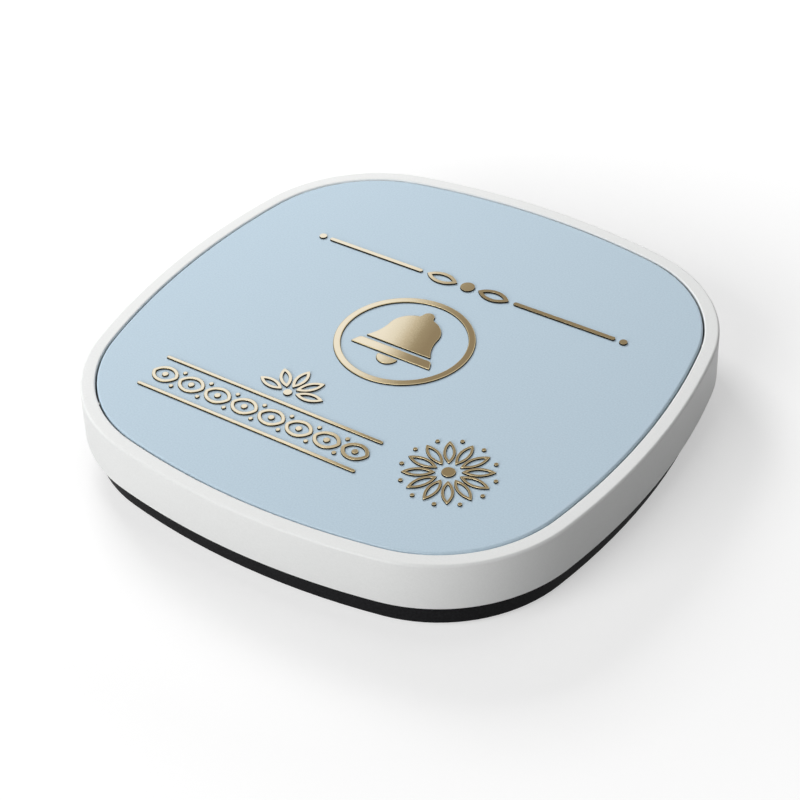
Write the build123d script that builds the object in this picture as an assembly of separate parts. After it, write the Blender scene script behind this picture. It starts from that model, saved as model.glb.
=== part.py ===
from build123d import *
import os
from math import atan2, cos, degrees, radians, sin, sqrt

# A wireless table call button: a low square pad with bowed sides and broad corners.
# Its whole top is one plate that is pressed anywhere. Four coil springs carry the plate,
# a stop ledge under the rim holds it in, and a boss in its middle works the switch.
# Millimetres, +Z up. The origin is on the table under the middle of the pad, +X is to
# the right and +Y away from somebody who reads the bell sign.

# ---- Driving sizes: overall form ----
BODY_WIDTH = 100.0  # widest, across the middle of two opposite sides
BODY_HEIGHT = 15.0  # table to the top of the rim
SIDE_RADIUS = 127.5  # plan radius of each bowed side
CORNER_RADIUS = 28.0  # plan radius of each corner

# ---- Driving sizes: white surround ----
RING_HEIGHT = 9.2  # from the parting line to the top of the rim
RING_DRAFT = 1.0  # degrees that the outer wall leans in towards the top
RING_WALL = 1.6  # wall thickness at the parting line
RIM_WIDTH = 2.75  # plan width from the widest outline to the opening
RIM_DEPTH = 2.6  # height of the thick rim, down to the stop ledge
RIM_EDGE = 0.5  # softened outer edge of the rim

# ---- Driving sizes: pressing plate ----
PLATE_GAP = 0.3  # between plate and rim, all round
FACE_THICKNESS = 1.5
FACE_EDGE = 0.35  # softened upper edge
TAPE_THICKNESS = 0.2
TAPE_LENGTH = 70.0
TAPE_WIDTH = 12.0
TAPE_PITCH = 28.0
CARRIER_THICKNESS = 1.2
SKIRT_WIDTH = 2.0
STOP_THICKNESS = 1.0
STOP_LENGTH = 8.0
STOP_SPREAD = 44.0  # from lug to lug along a side
STOP_WALL_GAP = 0.35  # between a stop lug and the surround's wall
STOP_GAP = 0.1  # between a stop lug and the ledge above it, at rest
PRESS_TRAVEL = 1.0
RIB_WIDTH = 1.2
SWITCH_BOSS_RADIUS = 3.5
SWITCH_BOSS_DEPTH = 1.4

# ---- Driving sizes: guides and springs ----
GUIDE_SIZE = 4.0  # across the arms of a guide's cross
GUIDE_ARM = 1.2
GUIDE_GAP = 0.15
GUIDE_MARGIN_X = 12.5  # guide axis in from the tray's inner wall
GUIDE_MARGIN_Y = 24.5
GUIDE_ENGAGEMENT = 1.8
SOCKET_WALL = 1.1
SPRING_LENGTH = 5.8  # as fitted
SPRING_WIRE = 0.4
SPRING_RADIUS = 2.95  # to the middle of the wire
SPRING_TURNS = 3.0  # open turns
SPRING_END_TURNS = 0.75  # closed turn at each end
SPRING_RUNS = 8  # straight runs in a turn
SPRING_ROOM = 0.35

# ---- Driving sizes: base tray ----
TRAY_INSET = 1.8  # shadow step, in from the widest outline
TRAY_WALL = 1.7
TRAY_FLOOR = 1.5
TRAY_CHAMFER = 0.3
TAB_HEIGHT = 2.6  # tabs that locate the surround and snap into it
TAB_LENGTH = 16.0
TAB_GAP = 0.1
BEAD_REACH = 0.5  # of the bead on a tab, into the surround's wall
BEAD_HEIGHT = 0.9
BEAD_SLOPE = 30.0  # degrees of the lead-in over the bead
SNAP_GAP = 0.1
FOOT_RADIUS = 5.5
FOOT_THICKNESS = 0.8
FOOT_MARGIN = 2.3  # from the foot to the tray's bottom edge

# ---- Driving sizes: battery bay, for a 20 x 3.2 mm coin cell ----
CELL_RADIUS = 10.0
CELL_THICKNESS = 3.2
CELL_CAP_INSET = 1.2
CELL_CAP_HEIGHT = 0.4
CELL_GAP = 0.1
CELL_SIDE_GAP = 0.25
DOOR_THICKNESS = 1.2
DOOR_GAP = 0.2
DOOR_LAP = 1.2  # of the door's disc under the ledge, outside the notches
DOOR_TURN = 35.0  # degrees from locked to free
TAB_WALL = 1.15
HATCH_GAP = 0.2
SEAT_GAP = 0.1
LEDGE_THICKNESS = 1.0
LUG_REACH = 0.8
LUG_THICKNESS = 1.0
LUG_WIDTH = 24.0  # degrees
LUG_COUNT = 3
NOTCH_GAP = 0.2
NOTCH_EXTRA = 4.0  # degrees that a notch is wider than its lug
BAY_RISE = 0.5
BAY_WALL = 1.2
BAY_MARGIN = 2.5
COIN_SLOT_LENGTH = 12.0
COIN_SLOT_WIDTH = 1.8
COIN_SLOT_DEPTH = 0.7

# ---- Driving sizes: circuit board and what it carries ----
BOARD_WIDTH = 44.0
BOARD_BACK = 24.0
BOARD_FRONT = 20.0
BOARD_THICKNESS = 1.6
BOARD_GAP = 0.6
REST_SIZE = 5.0
REST_FENCE = 1.2  # of a rest, outside the board's edge
CLIP_LENGTH = 5.0
CLIP_WALL = 1.4
CLIP_LAP = 0.6  # of a clip, over the board
CLIP_HEIGHT = 1.0
POCKET_GAP = 0.1
SWITCH_SIZE = 6.0
SWITCH_HEIGHT = 4.3  # board to the top of the plunger
SWITCH_BODY_HEIGHT = 3.1
SWITCH_CHAMFER = 0.3
PLUNGER_RADIUS = 1.75
PLUNGER_DEPTH = 0.6  # of the plunger inside the body, at rest
PLUNGER_GAP = 0.1
PLUNGER_END_GAP = 0.3
BOSS_GAP = 0.05  # from the plate's boss to the plunger, at rest
LEAD_THICKNESS = 0.2
LEAD_WIDTH = 0.7
LEAD_REACH = 1.4
LEAD_SPREAD = 4.5
CONTACT_THICKNESS = 0.25
CONTACT_WIDTH = 4.0
CONTACT_FOOT = 4.0
CONTACT_GAP = 0.05
CONTACT_BEND = 0.4
CONTACT_ANGLE = 50.0  # of the side contact, round the cell from +X
STRAP_RISE = 1.3  # of the strap, where it passes over the cell's edge
STRAP_TIP = 3.0
STRAP_LIFT = 1.0
CHIP_LENGTH = 4.9
CHIP_WIDTH = 3.9
CHIP_HEIGHT = 1.4
CHIP_PITCH = 1.27
CHIP_LEADS = 4  # on each long side
CHIP_LEAD_WIDTH = 0.4
CHIP_LEAD_REACH = 1.05
SAW_SIZE = 5.0
SAW_HEIGHT = 1.5
CRYSTAL_LENGTH = 5.0
CRYSTAL_WIDTH = 3.2
CRYSTAL_HEIGHT = 1.1
LID_MARGIN = 0.4
LID_HEIGHT = 0.3
PART_SPACING = 11.0
ANTENNA_WIDTH = 34.0
ANTENNA_REACH = 12.0  # behind the board
ANTENNA_FOOT = 3.0  # its legs stand this far in from the board's back edge
ANTENNA_STRIP = 1.6
ANTENNA_SHEET = 0.4
ANTENNA_LIFT = 1.9
ANTENNA_BEND = 3.0
SMALL_PART = (2.0, 1.25, 0.6)
SMALL_PARTS = 5
SMALL_PITCH = 2.8

# ---- Driving sizes: raised bell sign ----
SIGN_HEIGHT = 0.35
SIGN_X = -0.3
SIGN_Y = 0.9
SIGN_RADIUS = 12.45
SIGN_BAND = 1.3
BELL_WAIST = 5.0  # half-width where the dome ends
BELL_LIP = 6.7  # half-width at the lip
DOME_HEIGHT = 4.5
WAIST_Y = 2.95  # levels of the bell, from the ring's middle
LIP_Y = -2.05
KNOB_RADIUS = 1.15
KNOB_TOP_Y = 8.95
BRIM_GAP = 0.7
BRIM_HEIGHT = 2.05
BRIM_HALF = 8.15
BRIM_TOP_HALF = 7.3
BRIM_CORNER = 0.6
CLAPPER_GAP = 0.5
CLAPPER_RADIUS = 2.05

# ---- Levels, from the rim down ----
HALF = BODY_WIDTH / 2
PLATE_INSET = RIM_WIDTH + PLATE_GAP
PARTING = BODY_HEIGHT - RING_HEIGHT
LEDGE = BODY_HEIGHT - RIM_DEPTH
FACE_UNDER = BODY_HEIGHT - FACE_THICKNESS
CARRIER_TOP = FACE_UNDER - TAPE_THICKNESS
CARRIER_UNDER = CARRIER_TOP - CARRIER_THICKNESS
STOP_TOP = LEDGE - STOP_GAP
SKIRT_END = STOP_TOP - STOP_THICKNESS
SWITCH_BOSS_END = CARRIER_UNDER - SWITCH_BOSS_DEPTH
PLUNGER_TOP = SWITCH_BOSS_END - BOSS_GAP
BOARD_TOP = PLUNGER_TOP - SWITCH_HEIGHT
BOARD_UNDER = BOARD_TOP - BOARD_THICKNESS
SWITCH_TOP = BOARD_TOP + SWITCH_BODY_HEIGHT
SOCKET_TOP = CARRIER_UNDER - SPRING_LENGTH

# ---- Levels, from the table up ----
TRAY_UNDER = FOOT_THICKNESS
FLOOR = TRAY_UNDER + TRAY_FLOOR
TAB_TOP = PARTING + TAB_HEIGHT
BEAD_UNDER = TAB_TOP - BEAD_HEIGHT
DOOR_TOP = TRAY_UNDER + DOOR_THICKNESS
SEAT = DOOR_TOP + SEAT_GAP
BAY_LEDGE_TOP = SEAT + LEDGE_THICKNESS
LUG_UNDER = BAY_LEDGE_TOP + SEAT_GAP
LUG_TOP = LUG_UNDER + LUG_THICKNESS
BAY_TOP = LUG_TOP + BAY_RISE
CELL_UNDER = DOOR_TOP + CELL_GAP
CELL_TOP = CELL_UNDER + CELL_THICKNESS

# ---- Plan places and radii that follow ----
TRAY_INNER = TRAY_INSET + TRAY_WALL
TAB_OUTER = RING_WALL + TAB_GAP
BEAD_OUTER = TAB_OUTER - BEAD_REACH
SOCKET_BORE = GUIDE_SIZE + 2 * GUIDE_GAP
GUIDE_X = HALF - TRAY_INNER - GUIDE_MARGIN_X
GUIDE_Y = HALF - TRAY_INNER - GUIDE_MARGIN_Y
CUP_RADIUS = CELL_RADIUS + CELL_SIDE_GAP
HATCH_RADIUS = CUP_RADIUS + TAB_WALL + HATCH_GAP
LUG_RADIUS = HATCH_RADIUS + LUG_REACH
BAY_RADIUS = LUG_RADIUS + NOTCH_GAP
DOOR_RADIUS = BAY_RADIUS + DOOR_LAP
BAY_OUTER = DOOR_RADIUS + DOOR_GAP + BAY_WALL
BAY_Y = BAY_OUTER + BAY_MARGIN + TRAY_INNER - HALF
BOARD_ARC = BAY_OUTER + BOARD_GAP
SMALL_LENGTH, SMALL_WIDTH, SMALL_HEIGHT = SMALL_PART
CORNERS = {
    "front_left": (-1, -1),
    "front_right": (1, -1),
    "back_left": (-1, 1),
    "back_right": (1, 1),
}


def corner_centre():
    """X, and Y, of a corner arc's centre, which makes the corner tangent to both sides."""
    offset = SIDE_RADIUS - HALF
    return (sqrt(2 * (SIDE_RADIUS - CORNER_RADIUS) ** 2 - offset**2) - offset) / 2


def corner_reach(inset):
    """Distance from the pad's axis to the tip of a corner, at an inset outline."""
    return sqrt(2) * corner_centre() + CORNER_RADIUS - inset


FOOT_REACH = corner_reach(TRAY_INSET + TRAY_CHAMFER) - FOOT_MARGIN - FOOT_RADIUS
FOOT_XY = FOOT_REACH / sqrt(2)


def bowed_square(inset):
    """The pad's plan outline, moved in from the widest line: eight tangent arcs."""
    centre = corner_centre()
    offset = SIDE_RADIUS - HALF
    turn = degrees(atan2(centre, centre + offset))
    side = CenterArc((-offset, 0), SIDE_RADIUS - inset, -turn, 2 * turn)
    corner = CenterArc((centre, centre), CORNER_RADIUS - inset, turn, 90 - 2 * turn)
    return make_face([arc.rotate(Axis.Z, 90 * step) for step in range(4) for arc in (side, corner)])


def raised(sketch, low, high, taper=0.0):
    """A sketch in plan, raised from one level to another."""
    return extrude(Pos(0, 0, low) * sketch, amount=high - low, taper=taper)


def slab(inset, low, high, taper=0.0):
    """A plate with the pad's outline."""
    return raised(bowed_square(inset), low, high, taper)


def band(outer_inset, inner_inset, low, high):
    """A wall that follows the pad's outline."""
    return raised(bowed_square(outer_inset) - bowed_square(inner_inset), low, high)


def disc(radius, low, high, at=(0, 0)):
    """A round plate or post."""
    return raised(Pos(*at) * Circle(radius), low, high)


def bar(length, width, low, high, at=(0, 0), turn=0.0):
    """A straight block whose length runs along X before it is turned."""
    return raised(Pos(*at) * Rot(0, 0, turn) * Rectangle(length, width), low, high)


def post(size, low, high, at):
    """A square post."""
    return bar(size, size, low, high, at)


def sector(radius, low, high, middle, width):
    """A slice of a disc, width degrees wide about the direction middle."""
    arc = CenterArc((0, 0), radius, middle - width / 2, width)
    sides = [Line((0, 0), arc @ 0), Line(arc @ 1, (0, 0))]
    return raised(make_face([arc, *sides]), low, high)


def four_corners(x, y):
    """The four mirrored places of a point."""
    return [(sign_x * x, sign_y * y) for sign_x, sign_y in CORNERS.values()]


def crossing_bars(width, offsets, low, high):
    """Bars right across the pad both ways, to pick lengths out of a wall round it."""
    bars = []
    for offset in offsets:
        bars.append(bar(2 * BODY_WIDTH, width, low, high, (0, offset)))
        bars.append(bar(width, 2 * BODY_WIDTH, low, high, (offset, 0)))
    return Part() + bars


# ---- Casing ----
def housing_ring():
    """White surround: leaning outer wall, thick soft-edged rim, stop ledge and snap pockets."""
    ring = slab(0, PARTING, BODY_HEIGHT, RING_DRAFT)
    ring = chamfer(ring.edges().group_by(Axis.Z)[-1], RIM_EDGE)
    ring -= slab(RIM_WIDTH, PARTING, BODY_HEIGHT)
    ring -= slab(RING_WALL, PARTING, LEDGE)
    low = BEAD_UNDER - SNAP_GAP
    high = TAB_TOP + SNAP_GAP
    bars = crossing_bars(TAB_LENGTH + 2 * SNAP_GAP, [0], low, high)
    return ring - (band(BEAD_OUTER - SNAP_GAP, TAB_OUTER, low, high) & bars)


def snap_tabs():
    """A tab in the middle of each wall, with a sloped bead that clicks into the surround."""
    tabs = slab(TAB_OUTER, PARTING, TAB_TOP)
    tabs += slab(BEAD_OUTER, BEAD_UNDER, TAB_TOP, BEAD_SLOPE)
    tabs -= slab(TRAY_INNER, PARTING, TAB_TOP)
    return tabs & crossing_bars(TAB_LENGTH, [0], PARTING, TAB_TOP)


def battery_hatch():
    """What is cut for the door: recess, round hole, three notches and the room above."""
    hatch = disc(DOOR_RADIUS + DOOR_GAP, TRAY_UNDER, SEAT)
    hatch += disc(HATCH_RADIUS, SEAT, BAY_LEDGE_TOP)
    hatch += disc(BAY_RADIUS, BAY_LEDGE_TOP, BAY_TOP)
    for step in range(LUG_COUNT):
        middle = 360 / LUG_COUNT * step + DOOR_TURN
        hatch += sector(BAY_RADIUS, SEAT, BAY_LEDGE_TOP, middle, LUG_WIDTH + NOTCH_EXTRA)
    return hatch


def board_pocket():
    """The room that the tray's rests and clips leave for the board."""
    width = BOARD_WIDTH + 2 * POCKET_GAP
    depth = BOARD_BACK + BOARD_FRONT + 2 * POCKET_GAP
    middle = (BOARD_BACK - BOARD_FRONT) / 2
    return bar(width, depth, BOARD_UNDER, BOARD_TOP + POCKET_GAP, (0, middle))


def board_rests():
    """Four corner rests with fences, and a clip over each side edge of the board."""
    x = BOARD_WIDTH / 2 + POCKET_GAP + REST_FENCE - REST_SIZE / 2
    beyond = POCKET_GAP + REST_FENCE - REST_SIZE / 2
    pieces = []
    for side in (-1, 1):
        pieces.append(post(REST_SIZE, FLOOR, BOARD_TOP, (side * x, BOARD_BACK + beyond)))
        pieces.append(post(REST_SIZE, FLOOR, BOARD_TOP, (side * x, -BOARD_FRONT - beyond)))
        clip_x = BOARD_WIDTH / 2 + POCKET_GAP + (CLIP_WALL - CLIP_LAP) / 2
        clip_top = BOARD_TOP + POCKET_GAP + CLIP_HEIGHT
        pieces.append(bar(CLIP_WALL + CLIP_LAP, CLIP_LENGTH, FLOOR, clip_top, (side * clip_x, 0)))
    return Part() + pieces - board_pocket()


def base_tray():
    """Black base: floor, wall with snap tabs, sockets, board rests and battery bay."""
    tray = slab(TRAY_INSET, TRAY_UNDER, PARTING)
    tray = chamfer(tray.edges().group_by(Axis.Z)[0], TRAY_CHAMFER)
    tray -= slab(TRAY_INNER, FLOOR, PARTING)
    tray += snap_tabs()
    guides = four_corners(GUIDE_X, GUIDE_Y)
    tray += [post(SOCKET_BORE + 2 * SOCKET_WALL, FLOOR, SOCKET_TOP, at) for at in guides]
    tray -= [post(SOCKET_BORE, FLOOR, SOCKET_TOP, at) for at in guides]
    tray += board_rests()
    tray += disc(BAY_OUTER, TRAY_UNDER, BAY_TOP, (0, BAY_Y))
    return tray - Pos(0, BAY_Y, 0) * battery_hatch()


def rubber_foot(at):
    """A round rubber pad, glued under the tray."""
    return disc(FOOT_RADIUS, 0, FOOT_THICKNESS, at)


# ---- Pressing plate ----
def face_plate():
    """Blue top plate with a softened upper edge."""
    plate = slab(PLATE_INSET, FACE_UNDER, BODY_HEIGHT)
    return chamfer(plate.edges().group_by(Axis.Z)[-1], FACE_EDGE)


def face_tape():
    """Strips of double-sided tape that bond the face plate to its carrier."""
    places = [(0, TAPE_PITCH * step) for step in (-1, 0, 1)]
    return Part() + [bar(TAPE_LENGTH, TAPE_WIDTH, CARRIER_TOP, FACE_UNDER, at) for at in places]


def guide_cross(at):
    """A cross-shaped guide that slides in one of the tray's square sockets."""
    end = SOCKET_TOP - GUIDE_ENGAGEMENT
    return Part() + [bar(GUIDE_SIZE, GUIDE_ARM, end, CARRIER_UNDER, at, turn) for turn in (0, 90)]


def key_carrier():
    """Moulded plate under the face: skirt, stop lugs, ribs, guides and switch boss."""
    inner = PLATE_INSET + SKIRT_WIDTH
    carrier = slab(PLATE_INSET, SKIRT_END, CARRIER_TOP) - slab(inner, SKIRT_END, CARRIER_UNDER)
    lugs = band(RING_WALL + STOP_WALL_GAP, inner, SKIRT_END, STOP_TOP)
    offsets = [-STOP_SPREAD / 2, STOP_SPREAD / 2]
    carrier += lugs & crossing_bars(STOP_LENGTH, offsets, SKIRT_END, STOP_TOP)
    diagonal = degrees(atan2(GUIDE_Y, GUIDE_X))
    ribs = [
        bar(2 * BODY_WIDTH, RIB_WIDTH, SKIRT_END, CARRIER_UNDER, turn=turn)
        for turn in (0, 90, diagonal, -diagonal)
    ]
    ribs = (Part() + ribs) & slab(inner - SKIRT_WIDTH / 2, SKIRT_END, CARRIER_UNDER)
    guides = four_corners(GUIDE_X, GUIDE_Y)
    room = 2 * SPRING_RADIUS + SPRING_WIRE + 2 * SPRING_ROOM
    carrier += ribs - [post(room, SKIRT_END, CARRIER_UNDER, at) for at in guides]
    carrier += [guide_cross(at) for at in guides]
    return carrier + disc(SWITCH_BOSS_RADIUS, SWITCH_BOSS_END, CARRIER_UNDER)


def spring_rise(turns):
    """Height of the wire's middle above its lower end after so many turns."""
    closed_pitch = 1.1 * SPRING_WIRE
    closed = SPRING_END_TURNS * closed_pitch
    pitch = (SPRING_LENGTH - SPRING_WIRE - 2 * closed) / SPRING_TURNS
    opened = min(max(turns - SPRING_END_TURNS, 0), SPRING_TURNS)
    last = max(turns - SPRING_END_TURNS - SPRING_TURNS, 0)
    return min(turns, SPRING_END_TURNS) * closed_pitch + opened * pitch + last * closed_pitch


def return_spring(at):
    """Coil spring with closed ends, round a guide and on top of its socket."""
    steps = round((SPRING_TURNS + 2 * SPRING_END_TURNS) * SPRING_RUNS)
    bottom = SOCKET_TOP + SPRING_WIRE / 2
    points = []
    for step in range(steps + 1):
        turns = step / SPRING_RUNS
        angle = radians(360 * turns)
        height = bottom + spring_rise(turns)
        points.append((SPRING_RADIUS * cos(angle), SPRING_RADIUS * sin(angle), height))
    path = Polyline(*points)
    wire = Plane(path @ 0, z_dir=path % 0) * RegularPolygon(SPRING_WIRE / 2, 6)
    return Pos(*at) * sweep(wire, path, transition=Transition.RIGHT)


# ---- Raised bell sign ----
def on_sign(sketch):
    """A sketch drawn about the sign's middle, as raised metal on the face plate."""
    return raised(Pos(SIGN_X, SIGN_Y) * sketch, BODY_HEIGHT, BODY_HEIGHT + SIGN_HEIGHT)


def sign_ring():
    """The ring round the bell."""
    return on_sign(Circle(SIGN_RADIUS) - Circle(SIGN_RADIUS - SIGN_BAND))


def sign_bell():
    """Bell: a dome that flares out to the lip, with a round knob on top."""
    waist = (BELL_WAIST, WAIST_Y)
    lip = (BELL_LIP, LIP_Y)
    flare = TangentArc(waist, lip, tangent=(0, -1))
    skirt = make_face([flare, Polyline(lip, (0, LIP_Y), (0, WAIST_Y), waist)])
    dome = Pos(0, WAIST_Y) * Ellipse(BELL_WAIST, DOME_HEIGHT)
    knob_y = KNOB_TOP_Y - KNOB_RADIUS
    stem = Pos(0, (WAIST_Y + knob_y) / 2) * Rectangle(2 * KNOB_RADIUS, knob_y - WAIST_Y)
    return on_sign(skirt + mirror(skirt, Plane.YZ) + dome + stem + Pos(0, knob_y) * Circle(KNOB_RADIUS))


def sign_brim():
    """Brim: the bar under the bell, narrower and rounded on top."""
    top = LIP_Y - BRIM_GAP
    bottom = top - BRIM_HEIGHT
    corners = [(-BRIM_HALF, bottom), (BRIM_HALF, bottom), (BRIM_TOP_HALF, top), (-BRIM_TOP_HALF, top)]
    brim = make_face(Polyline(*corners, close=True))
    return on_sign(fillet(brim.vertices().group_by(Axis.Y)[-1], BRIM_CORNER))


def sign_clapper():
    """Clapper: the lower half of a disc, hung under the brim."""
    top = LIP_Y - BRIM_GAP - BRIM_HEIGHT - CLAPPER_GAP
    arc = CenterArc((0, top), CLAPPER_RADIUS, 180, 180)
    return on_sign(make_face([arc, Line(arc @ 1, arc @ 0)]))


# ---- Battery door, cell and contacts ----
def battery_door():
    """Coin-slotted disc with three hooked tabs that turn over the tray's ledge."""
    door = disc(DOOR_RADIUS, TRAY_UNDER, DOOR_TOP)
    for step in range(LUG_COUNT):
        middle = 360 / LUG_COUNT * step
        tab = sector(CUP_RADIUS + TAB_WALL, DOOR_TOP, LUG_TOP, middle, LUG_WIDTH)
        tab += sector(LUG_RADIUS, LUG_UNDER, LUG_TOP, middle, LUG_WIDTH)
        door += tab - disc(CUP_RADIUS, DOOR_TOP, LUG_TOP)
    door -= bar(COIN_SLOT_LENGTH, COIN_SLOT_WIDTH, TRAY_UNDER, TRAY_UNDER + COIN_SLOT_DEPTH)
    return Pos(0, BAY_Y, 0) * door


def coin_cell():
    """Lithium cell: the wide can is its plus side, and the cap on top its minus side."""
    can_top = CELL_TOP - CELL_CAP_HEIGHT
    can = disc(CELL_RADIUS, CELL_UNDER, can_top, (0, BAY_Y))
    return can + disc(CELL_RADIUS - CELL_CAP_INSET, can_top, CELL_TOP, (0, BAY_Y))


def ribbon(points, bend, thickness):
    """A strip's section: the band on the right of a bent line, closed at both ends."""
    line = FilletPolyline(*points, radius=bend)
    return make_face(offset(line, amount=thickness, side=Side.RIGHT))


def bent_strip(points, width):
    """A strip of sheet bent along points in the XZ plane, with its width along Y."""
    section = Plane.XZ * ribbon(points, CONTACT_BEND, CONTACT_THICKNESS)
    return extrude(section, amount=width / 2, both=True)


def positive_contact():
    """Angled spring leaf from the board to the side of the cell's can."""
    start = BOARD_ARC + CONTACT_FOOT
    touch = CELL_RADIUS + CONTACT_GAP + CONTACT_THICKNESS
    points = [(start, BOARD_TOP), (touch, BOARD_TOP), (touch, LUG_TOP + SEAT_GAP)]
    return Pos(0, BAY_Y, 0) * Rot(0, 0, CONTACT_ANGLE) * bent_strip(points, CONTACT_WIDTH)


def negative_contact():
    """Spring strap from the board's edge down onto the middle of the cell's cap."""
    touch = CELL_TOP + CONTACT_GAP
    points = [
        (BOARD_ARC + CONTACT_FOOT, BOARD_TOP),
        (BOARD_ARC - CONTACT_BEND, BOARD_TOP),
        (CELL_RADIUS, CELL_TOP + STRAP_RISE),
        (0, touch),
        (-STRAP_TIP, touch + STRAP_LIFT),
    ]
    return Pos(0, BAY_Y, 0) * Rot(0, 0, 90) * bent_strip(points, CONTACT_WIDTH)


# ---- Circuit board ----
def circuit_board():
    """Board with a round bite for the battery bay."""
    middle = (BOARD_BACK - BOARD_FRONT) / 2
    outline = Pos(0, middle) * Rectangle(BOARD_WIDTH, BOARD_BACK + BOARD_FRONT)
    return raised(outline - Pos(0, BAY_Y) * Circle(BOARD_ARC), BOARD_UNDER, BOARD_TOP)


def gull_lead(inner, reach, rise, width):
    """A lead that leaves a body at x = inner, drops to the board and ends in a foot."""
    foot = BOARD_TOP + LEAD_THICKNESS
    lead = bar(reach, width, BOARD_TOP, foot, (inner + reach / 2, 0))
    top = BOARD_TOP + rise
    return lead + bar(LEAD_THICKNESS, width, BOARD_TOP, top, (inner + LEAD_THICKNESS / 2, 0))


def switch_body():
    """Push switch: square body with a plunger well and four leads."""
    block = bar(SWITCH_SIZE, SWITCH_SIZE, BOARD_TOP, SWITCH_TOP)
    body = chamfer(block.edges().filter_by(Axis.Z), SWITCH_CHAMFER)
    well = PLUNGER_DEPTH + PRESS_TRAVEL + PLUNGER_END_GAP
    body -= disc(PLUNGER_RADIUS + PLUNGER_GAP, SWITCH_TOP - well, SWITCH_TOP)
    lead = gull_lead(SWITCH_SIZE / 2, LEAD_REACH, SWITCH_BODY_HEIGHT / 3, LEAD_WIDTH)
    for y in (-LEAD_SPREAD / 2, LEAD_SPREAD / 2):
        right = Pos(0, y, 0) * lead
        body += [right, mirror(right, Plane.YZ)]
    return body


def switch_plunger():
    """The switch's own button, which the carrier's boss pushes down."""
    return disc(PLUNGER_RADIUS, SWITCH_TOP - PLUNGER_DEPTH, PLUNGER_TOP)


def microcontroller():
    """Encoder chip with leads along both long sides, left of the board's middle."""
    body = bar(CHIP_WIDTH, CHIP_LENGTH, BOARD_TOP + LEAD_THICKNESS, BOARD_TOP + CHIP_HEIGHT)
    lead = gull_lead(CHIP_WIDTH / 2, CHIP_LEAD_REACH, CHIP_HEIGHT / 2, CHIP_LEAD_WIDTH)
    for step in range(CHIP_LEADS):
        right = Pos(0, CHIP_PITCH * (step - (CHIP_LEADS - 1) / 2), 0) * lead
        body += [right, mirror(right, Plane.YZ)]
    return Pos(-PART_SPACING, PART_SPACING, 0) * body


def lidded_package(length, width, height, at):
    """A flat ceramic package with a metal lid."""
    body = bar(length, width, BOARD_TOP, BOARD_TOP + height - LID_HEIGHT, at)
    lid = (length - 2 * LID_MARGIN, width - 2 * LID_MARGIN)
    return body + bar(*lid, BOARD_TOP + height - LID_HEIGHT, BOARD_TOP + height, at)


def saw_resonator():
    """Package that sets the radio frequency, right of the board's middle."""
    return lidded_package(SAW_SIZE, SAW_SIZE, SAW_HEIGHT, (PART_SPACING, PART_SPACING))


def crystal():
    """Clock crystal between the encoder chip and the resonator."""
    return lidded_package(CRYSTAL_LENGTH, CRYSTAL_WIDTH, CRYSTAL_HEIGHT, (0, PART_SPACING))


def loop_antenna():
    """Strip-metal loop that stands on two legs and reaches out behind the board."""
    half = ANTENNA_WIDTH / 2
    near = BOARD_BACK - ANTENNA_FOOT
    far = BOARD_BACK + ANTENNA_REACH
    points = [(-half, near), (-half, far), (half, far), (half, near)]
    top = BOARD_TOP + ANTENNA_LIFT
    loop = raised(ribbon(points, ANTENNA_BEND, ANTENNA_STRIP), top, top + ANTENNA_SHEET)
    leg_x = half - ANTENNA_STRIP / 2
    leg_y = near + ANTENNA_SHEET / 2
    legs = [bar(ANTENNA_STRIP, ANTENNA_SHEET, BOARD_TOP, top, (x, leg_y)) for x in (-leg_x, leg_x)]
    return loop + legs


def chip_parts():
    """Row of small capacitors and resistors to the left of the switch."""
    places = [(-PART_SPACING, SMALL_PITCH * (step - SMALL_PARTS / 2)) for step in range(SMALL_PARTS)]
    top = BOARD_TOP + SMALL_HEIGHT
    return Part() + [bar(SMALL_LENGTH, SMALL_WIDTH, BOARD_TOP, top, at) for at in places]


def corner_pieces():
    """The pieces that stand at the four corners, by name."""
    pieces = {}
    for name, (sign_x, sign_y) in CORNERS.items():
        pieces["rubber_foot_" + name] = rubber_foot((sign_x * FOOT_XY, sign_y * FOOT_XY))
        pieces["return_spring_" + name] = return_spring((sign_x * GUIDE_X, sign_y * GUIDE_Y))
    return pieces


PIECES = (
    housing_ring,
    base_tray,
    face_plate,
    face_tape,
    key_carrier,
    sign_ring,
    sign_bell,
    sign_brim,
    sign_clapper,
    battery_door,
    coin_cell,
    positive_contact,
    negative_contact,
    circuit_board,
    switch_body,
    switch_plunger,
    microcontroller,
    saw_resonator,
    crystal,
    loop_antenna,
    chip_parts,
)

os.makedirs("parts", exist_ok=True)
for build in PIECES:
    export_step(build(), "parts/" + build.__name__ + ".step")
for name, piece in corner_pieces().items():
    export_step(piece, "parts/" + name + ".step")
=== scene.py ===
# %% [markdown]
# # A table call button
# This lesson dresses a low square pad that a guest presses to call a waiter. A white surround holds a pale
# blue plate, and the whole plate goes down a millimetre when it is pressed. A gold bell in a ring stands a
# little proud of it, with gold ornaments around it, and the pad rests on a black base with rubber feet.
#
# The engineering model is loaded first and stays where it is. Each visible piece is then made again with
# smoother curves, or keeps its own mesh and gets a better finish.

import bpy
import bmesh
from math import asin, atan2, cos, hypot, pi, radians, sin, sqrt
from mathutils import Matrix, Vector


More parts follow.
